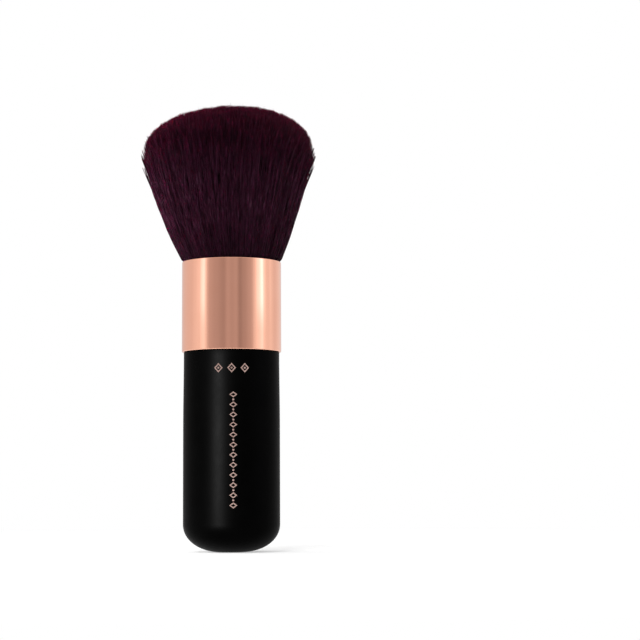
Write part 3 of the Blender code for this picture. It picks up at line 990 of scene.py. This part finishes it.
def make_loose_locks(rng, material):
    """Small locks round the shoulder that stand a little clear of the tuft."""
    count = LOCK_COUNT * LOCK_FILAMENTS
    lock = np.repeat(np.arange(LOCK_COUNT), LOCK_FILAMENTS)
    share = np.linspace(0, 1, LOCK_RINGS)[None, :]
    end = rng.uniform(*LOCK_END, LOCK_COUNT)[lock]
    out = np.minimum(outline_radius(end) / flare_radius(end), 1.0)
    out = out + rng.normal(0, LOCK_OUT_SCATTER, count)
    end = end - rng.uniform(0, LOCK_END_SCATTER, count)
    rise = end[:, None] - LOCK_LENGTH * (1 - share)
    spread = rng.normal(0, LOCK_SPREAD, count)[:, None] * (1 - LOCK_GATHER * share)
    bearing = (np.arange(LOCK_COUNT) * GOLDEN_ANGLE)[lock][:, None] + spread
    clear = rng.uniform(*LOCK_CLEAR, LOCK_COUNT)[lock][:, None] * share**2
    clear = clear - LOCK_ROOT_DEPTH * (1 - share)
    sway = rng.normal(0, LOCK_SWAY, LOCK_COUNT)[lock][:, None] * share**2
    radius = out[:, None] * flare_radius(rise) + clear
    x = radius * np.cos(bearing) - sway * np.sin(bearing) + lean_at(rise)
    y = radius * np.sin(bearing) + sway * np.cos(bearing)
    tone = np.clip(LOCK_TONE + LOCK_SHADES * rng.normal(0, 1, (count, 1)), 0, 1)
    thickness = FILAMENT_RADIUS * rng.uniform(*LOCK_THICKNESS, (count, 1))
    radii = thickness * taper(share, *LOCK_TAPER)
    paths = np.stack([x, y, MOUTH_Z + rise], axis=-1)
    return filament_mesh("tuft_loose_locks", paths, radii, tone, rise / end[:, None], material)


def make_tuft():
    rng = np.random.default_rng(SEED)
    core = make_core(core_material())
    strand = filament_material()
    pieces = [core] + make_filaments(rng, strand) + [make_loose_locks(rng, strand)]
    for piece in pieces:
        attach(piece, "root")
    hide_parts("bristle_tuft")
    return pieces


def dress_inner_pieces():
    """The pieces sealed inside the ferrule keep their solids and get their finish."""
    glue = resin_material("clear_adhesive", (0.62, 0.55, 0.40), (0.74, 0.68, 0.52), (0.4, 0.25))
    resin = resin_material("potting_resin", (0.42, 0.30, 0.14), (0.58, 0.45, 0.24), (0.35, 0.2))
    thread = resin_material("waxed_thread", (0.58, 0.54, 0.46), (0.78, 0.74, 0.66), (0.9, 0.7))
    finishes = {
        "adhesive_bead_1": glue,
        "adhesive_bead_2": glue,
        "potting_plug": resin,
        "root_thread": thread,
    }
    for name, material in finishes.items():
        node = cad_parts[name]
        node.data.materials.clear()
        node.data.materials.append(material)


def add_light(name, size, power, azimuth, height, distance, target, glossy=False, receivers=None):
    """A soft panel, aimed at a height on the axis. Azimuth 0 is behind the camera, and grows to the
    right. Where it has receivers, it lights nothing else."""
    data = bpy.data.lights.new(name, "AREA")
    data.shape = "RECTANGLE"
    data.size, data.size_y = size
    data.energy = power
    lamp = bpy.data.objects.new(name, data)
    bpy.context.scene.collection.objects.link(lamp)
    angle = math.radians(azimuth)
    lamp.location = (distance * math.sin(angle), -distance * math.cos(angle), height)
    aim = Vector((0, 0, target)) - lamp.location
    lamp.rotation_euler = aim.to_track_quat("-Z", "Y").to_euler()
    lamp.visible_camera = False
    lamp.visible_glossy = glossy
    if receivers:
        only = bpy.data.collections.new(name + "_receivers")
        for obj in receivers:
            only.objects.link(obj)
        lamp.light_linking.receiver_collection = only
    return lamp


def make_lights(handle, tuft):
    """The key light, the rim lights on both sides and behind, and the handle's long highlight."""
    add_light(
        "key_panel", (0.5, 0.5), power=7.5, azimuth=-25, height=0.46, distance=0.75, target=0.07
    )
    add_light(
        "rim_left", (0.25, 0.4), power=6.0, azimuth=-112, height=0.08, distance=0.55, target=0.08
    )
    add_light(
        "rim_back", (0.15, 0.3), power=4.0, azimuth=-140, height=0.03, distance=0.55, target=0.08,
        receivers=tuft,
    )
    add_light(
        "rim_right", (0.25, 0.3), power=3.5, azimuth=114, height=0.03, distance=0.55, target=0.08
    )
    strip = add_light(
        "handle_strip", (0.09, 0.13), power=4.6, azimuth=-31, height=0.03, distance=0.4, target=0.03,
        glossy=True, receivers=[handle],
    )
    strip.visible_diffuse = False
    add_light(
        "crown_back", (0.4, 0.15), power=2.2, azimuth=-150, height=0.32, distance=0.5, target=0.1,
        receivers=tuft,
    )


def studio_level(tree, direction):
    """Level of the studio's ring in a direction, by its bearing."""
    front = math_node(tree, "MULTIPLY", direction["Y"], -1)
    bearing = math_node(tree, "ARCTAN2", direction["X"], front)
    turn = math_node(tree, "ADD", math_node(tree, "DIVIDE", bearing, 2 * math.pi), 0.5)
    stops = [(degrees / 360 + 0.5, (level / RING_SCALE,) * 3) for degrees, level in STUDIO_RING]
    level = math_node(tree, "MULTIPLY", colour_ramp(tree, turn, stops, "EASE"), RING_SCALE)
    # The bright strips stand above the table, so they fade towards the horizon.
    strip = math_node(tree, "MAXIMUM", math_node(tree, "SUBTRACT", level, STRIP_LEVEL), 0)
    sunk = map_range(tree, direction["Z"], STRIP_FOOT, (STRIP_SUNK, 0))
    return math_node(tree, "SUBTRACT", level, math_node(tree, "MULTIPLY", strip, sunk))


def studio_tint(tree, level, glossy_ray):
    """The darker room reflects a little warmer, and the brightest strips a little cooler."""
    warm = map_range(tree, level, WARM_LEVELS, (WARM_TINT, 0), smooth=False)
    cool = map_range(tree, level, COOL_LEVELS, (0, COOL_TINT), smooth=False)
    tint = tree.nodes.new("ShaderNodeCombineColor")
    tint.inputs["Green"].default_value = 1
    for socket, share in (("Red", warm), ("Blue", cool)):
        amount = math_node(tree, "MULTIPLY", glossy_ray, share)
        feed(tree, tint.inputs[socket], math_node(tree, "ADD", amount, 1))
    return tint.outputs["Color"]


def make_world():
    """The studio: reflections see its ring, other light is even, and the camera sees white."""
    world = bpy.data.worlds.new("studio")
    bpy.context.scene.world = world
    world.use_nodes = True
    tree = world.node_tree
    place = tree.nodes.new("ShaderNodeTexCoord")
    direction = tree.nodes.new("ShaderNodeSeparateXYZ")
    feed(tree, direction.inputs["Vector"], place.outputs["Generated"])
    rays = tree.nodes.new("ShaderNodeLightPath").outputs
    level = studio_level(tree, direction.outputs)
    overhead = map_range(tree, direction.outputs["Z"], OVERHEAD, (0, 1))
    reflected = mix_node(tree, "FLOAT", overhead, level, 1)
    lit = mix_node(tree, "FLOAT", rays["Is Glossy Ray"], AMBIENT_LEVEL, reflected)
    clear = math_node(tree, "MAXIMUM", rays["Is Camera Ray"], rays["Is Transmission Ray"])
    background = tree.nodes["Background"]
    tint = studio_tint(tree, level, rays["Is Glossy Ray"])
    strength = mix_node(tree, "FLOAT", clear, lit, 1)
    feed_all(tree, background, {"Color": tint, "Strength": strength})


def make_floor():
    """A pale floor that takes the brush's shadow and turns into the white backdrop further out."""
    mesh = bpy.data.meshes.new("floor")
    turn = [2 * math.pi * i / FLOOR_SEGMENTS for i in range(FLOOR_SEGMENTS)]
    rim = [(FLOOR_RADIUS * math.cos(a), FLOOR_RADIUS * math.sin(a), 0) for a in turn]
    mesh.from_pydata(rim, [], [tuple(range(FLOOR_SEGMENTS))])
    material, tree, shader = new_material("pale_floor")
    shader.inputs["Base Color"].default_value = (0.93, 0.93, 0.93, 1)
    shader.inputs["Roughness"].default_value = 0.9
    shader.inputs["Specular IOR Level"].default_value = 0
    place = tree.nodes.new("ShaderNodeTexCoord")
    length = tree.nodes.new("ShaderNodeVectorMath")
    length.operation = "LENGTH"
    feed(tree, length.inputs[0], place.outputs["Object"])
    far = map_range(tree, length.outputs["Value"], FLOOR_FADE, FLOOR_WHITE)
    rays = tree.nodes.new("ShaderNodeLightPath").outputs
    direct = math_node(tree, "MAXIMUM", rays["Is Camera Ray"], rays["Is Glossy Ray"])
    direct = math_node(tree, "MAXIMUM", direct, rays["Is Transmission Ray"])
    white = tree.nodes.new("ShaderNodeEmission")
    mix = tree.nodes.new("ShaderNodeMixShader")
    feed(tree, mix.inputs["Fac"], math_node(tree, "MULTIPLY", far, direct))
    feed(tree, mix.inputs[1], shader.outputs["BSDF"])
    feed(tree, mix.inputs[2], white.outputs["Emission"])
    feed(tree, tree.nodes["Material Output"].inputs["Surface"], mix.outputs["Shader"])
    floor = add_piece("floor", mesh, material)


def make_camera():
    """The camera stands in front of the brush and looks up a little, past its right side."""
    data = bpy.data.cameras.new("camera")
    data.sensor_width = SENSOR
    distance = -EYE.y
    data.lens = SENSOR * distance / FRAME_WIDTH
    camera = bpy.data.objects.new("camera", data)
    aim = Vector((AIM_X, 0, EYE.z + distance * math.tan(CAMERA_PITCH)))
    turn = (aim - EYE).to_track_quat("-Z", "Y").to_matrix().to_4x4()
    yaw = math.atan2(AIM_X, distance)
    level = Matrix.Rotation(-yaw * math.sin(CAMERA_PITCH), 4, "Z")
    camera.matrix_world = Matrix.Translation(EYE) @ turn @ level
    bpy.context.scene.collection.objects.link(camera)
    bpy.context.scene.camera = camera


make_camera()
make_world()
make_floor()
handle = make_handle()
make_ornament()
make_ferrule()
tuft = make_tuft()
dress_inner_pieces()
make_lights(handle, tuft)
bpy.context.scene.view_settings.view_transform = "Standard"
